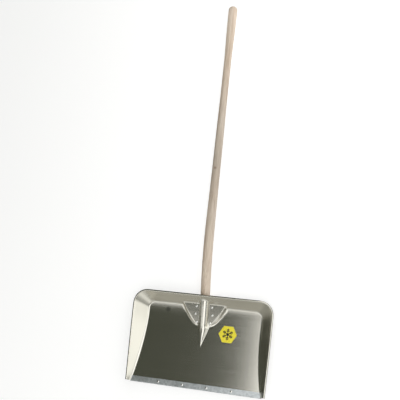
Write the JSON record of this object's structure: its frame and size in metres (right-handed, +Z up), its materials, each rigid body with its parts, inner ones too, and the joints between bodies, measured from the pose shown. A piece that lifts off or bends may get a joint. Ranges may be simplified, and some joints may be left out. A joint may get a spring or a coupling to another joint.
{
  "type": "snow shovel",
  "caption": "Snow shovel with a wide pressed aluminium scoop, a steel wear strip along its front edge, and a bent wooden handle held in a riveted socket.",
  "frame": {"origin": "bottom centre of the shovel's bounding box, on the ground it lies on", "axes": "+Z up with the shovel lying on its back, +Y from the scoop's front edge towards the handle's top end, +X to the right across the scoop"},
  "size_m": [0.5092, 1.3738, 0.0707],
  "materials": {
    "sheet_aluminium": "mill finish, rolled sheet, satin",
    "rivet_aluminium": "bare, bright",
    "galvanised_steel": "galvanised, dull satin",
    "handle_wood": "sanded, bare, pale ash",
    "label_film": "printed gloss film"
  },
  "bodies": {
    "root": {"blade": "sheet_aluminium", "wear_strip": "galvanised_steel", "socket_plate": "galvanised_steel", "handle": "handle_wood", "handle_screw": "galvanised_steel", "label": "label_film", "plate_rivet_1": "rivet_aluminium", "plate_rivet_2": "rivet_aluminium", "plate_rivet_3": "rivet_aluminium", "plate_rivet_4": "rivet_aluminium", "plate_rivet_5": "rivet_aluminium", "plate_rivet_6": "rivet_aluminium", "strip_rivet_1": "rivet_aluminium", "strip_rivet_2": "rivet_aluminium", "strip_rivet_3": "rivet_aluminium", "strip_rivet_4": "rivet_aluminium"}
  },
  "joints": []
}
